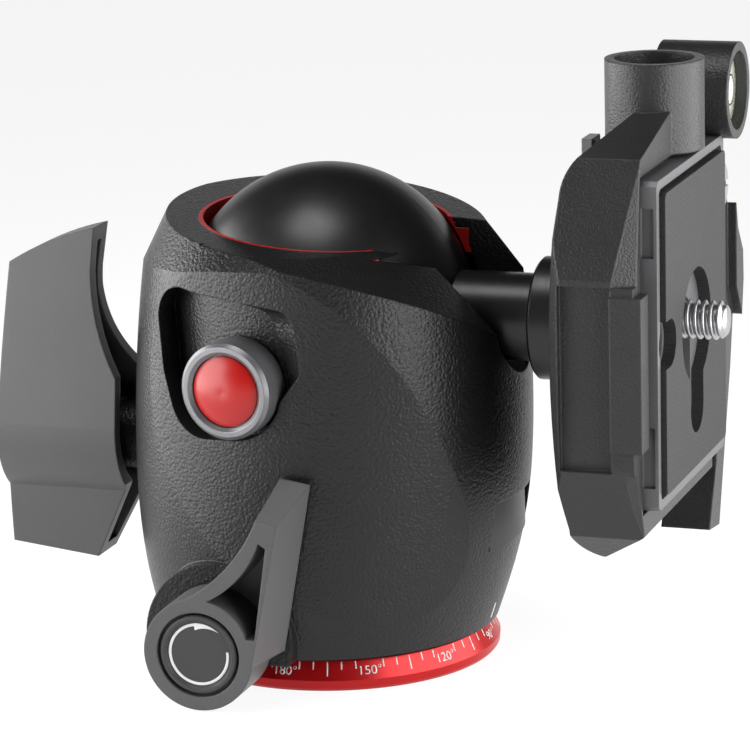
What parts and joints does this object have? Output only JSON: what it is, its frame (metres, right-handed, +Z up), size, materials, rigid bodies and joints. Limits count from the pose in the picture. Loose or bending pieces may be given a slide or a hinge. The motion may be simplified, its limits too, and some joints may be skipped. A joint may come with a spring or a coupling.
{
  "type": "tripod ball head",
  "caption": "Ball head for a camera tripod: panning base with degree scale, ball in a notched housing, lock knob, friction dial, pan lever and quick-release clamp with levels and camera plate.",
  "frame": {"origin": "centre of the base's flat underside, on the pan axis, at the mouth of the tripod thread", "axes": "+Z up along the pan axis; the stem lies in the portrait notch along +X; the friction dial and the pan lever face -Y; the main knob is on -X"},
  "size_m": [0.1239, 0.0818, 0.0999],
  "materials": {
    "black_coat": "black coat with a fine leathery grain",
    "clamp_coat": "black coat, fine grain, edges a little brighter",
    "red_anodised": "red anodised, satin",
    "steel": "turned steel",
    "black_steel": "blackened steel",
    "white_plastic": "natural bearing plastic",
    "red_plastic": "red bearing plastic",
    "red_gloss": "glossy red dome",
    "label_black": "bare black plate",
    "grip_plastic": "dark grey, fine grain",
    "cap_plastic": "dark grey, satin",
    "dial_grey": "grey, bead-blasted",
    "brass": "turned brass",
    "ball_black": "black anodised, satin",
    "stem_black": "black anodised, fine turning lines",
    "vial_clear": "clear level with a green tint",
    "plate_grey": "grey anodised",
    "pad_rubber": "black rubber with a fine diagonal grain"
  },
  "bodies": {
    "base": {"scale_ring": "red_anodised", "base_plate": "black_coat", "tripod_bush": "steel", "pan_spindle": "steel", "base_screws": "steel", "spindle_clip": "steel", "thrust_washer": "white_plastic"},
    "housing": {"housing": "black_coat", "socket_liner": "red_plastic", "ball_cup": "white_plastic", "cup_spring": "steel", "label_plate": "label_black"},
    "lock_plunger": {"lock_plunger": "steel"},
    "main_knob": {"knob_grip": "grip_plastic", "knob_shaft": "steel", "knob_screw": "steel"},
    "friction_knob": {"friction_dial": "dial_grey", "friction_cap": "red_gloss", "friction_shaft": "steel"},
    "pan_lever": {"pan_lever": "grip_plastic", "pan_lever_cap": "cap_plastic", "pan_lever_screw": "steel"},
    "front_plug": {"front_grip_plug": "brass"},
    "rear_plug": {"rear_grip_plug": "brass"},
    "ball": {"ball": "ball_black"},
    "clamp": {"stem": "stem_black", "clamp_bolt": "steel", "clamp_body": "clamp_coat", "portrait_vial": "vial_clear", "landscape_vial": "vial_clear", "plate_body": "plate_grey", "plate_pad": "pad_rubber", "lever_pivot": "steel", "trigger_pin": "steel"},
    "release_lever": {"release_lever": "clamp_coat"},
    "safety_catch": {"safety_catch": "dial_grey"},
    "screw_carriage": {"screw_washer": "black_steel"},
    "camera_screw": {"camera_screw": "black_steel", "screw_ring": "steel"}
  },
  "joints": [
    {"name": "pan_rotation", "type": "hinge", "parent": "base", "child": "housing", "pos_m": [0, 0, 0.01], "axis": [0, 0, 1], "continuous": true},
    {"name": "main_knob_turn", "type": "hinge", "parent": "housing", "child": "main_knob", "pos_m": [-0.04, 0, 0.034], "axis": [-1, 0, 0], "range_deg": [0, 110]},
    {"name": "plunger_slide", "type": "slide", "parent": "housing", "child": "lock_plunger", "axis": [-1, 0, 0], "range_m": [0, 0.0004]},
    {"name": "friction_knob_turn", "type": "hinge", "parent": "housing", "child": "friction_knob", "pos_m": [-0.00644, -0.0326, 0.05056], "axis": [-0.1392, -0.9903, 0], "range_deg": [-150, 150]},
    {"name": "pan_lever_turn", "type": "hinge", "parent": "housing", "child": "pan_lever", "pos_m": [-0.0091, -0.036, 0.0095], "axis": [0, -1, 0], "range_deg": [-20, 60]},
    {"name": "front_plug_slide", "type": "slide", "parent": "housing", "child": "front_plug", "axis": [0, -1, 0], "range_m": [-0.0001, 0.0003]},
    {"name": "rear_plug_slide", "type": "slide", "parent": "housing", "child": "rear_plug", "axis": [0, 1, 0], "range_m": [-0.0001, 0.0003]},
    {"name": "ball_tilt", "type": "hinge", "parent": "housing", "child": "ball", "pos_m": [0, 0, 0.0576], "axis": [0, -1, 0], "range_deg": [0, 125]},
    {"name": "stem_spin", "type": "hinge", "parent": "ball", "child": "clamp", "pos_m": [0.025, 0, 0.0576], "axis": [1, 0, 0], "continuous": true},
    {"name": "release_lever_turn", "type": "hinge", "parent": "clamp", "child": "release_lever", "pos_m": [0.054, 0.027, 0.075], "axis": [1, 0, 0], "range_deg": [0, 50], "stiffness_Nm_per_rad": 0.03, "springref_deg": -28.65},
    {"name": "safety_catch_turn", "type": "hinge", "parent": "clamp", "child": "safety_catch", "pos_m": [0.044, 0.006, 0.0844], "axis": [1, 0, 0], "range_deg": [0, 25], "stiffness_Nm_per_rad": 0.002, "springref_deg": -28.65},
    {"name": "screw_slide", "type": "slide", "parent": "clamp", "child": "screw_carriage", "axis": [0, 0, 1], "range_m": [-0.0134, 0]},
    {"name": "screw_spin", "type": "hinge", "parent": "screw_carriage", "child": "camera_screw", "pos_m": [0.057, 0.0004, 0.05845], "axis": [1, 0, 0], "continuous": true}
  ],
  "couplings": [
    {"joint": "plunger_slide", "follows": "main_knob_turn", "m_per_rad": 0.0002},
    {"joint": "front_plug_slide", "follows": "pan_lever_turn", "m_per_rad": 0.00025},
    {"joint": "rear_plug_slide", "follows": "pan_lever_turn", "m_per_rad": 0.00025}
  ]
}
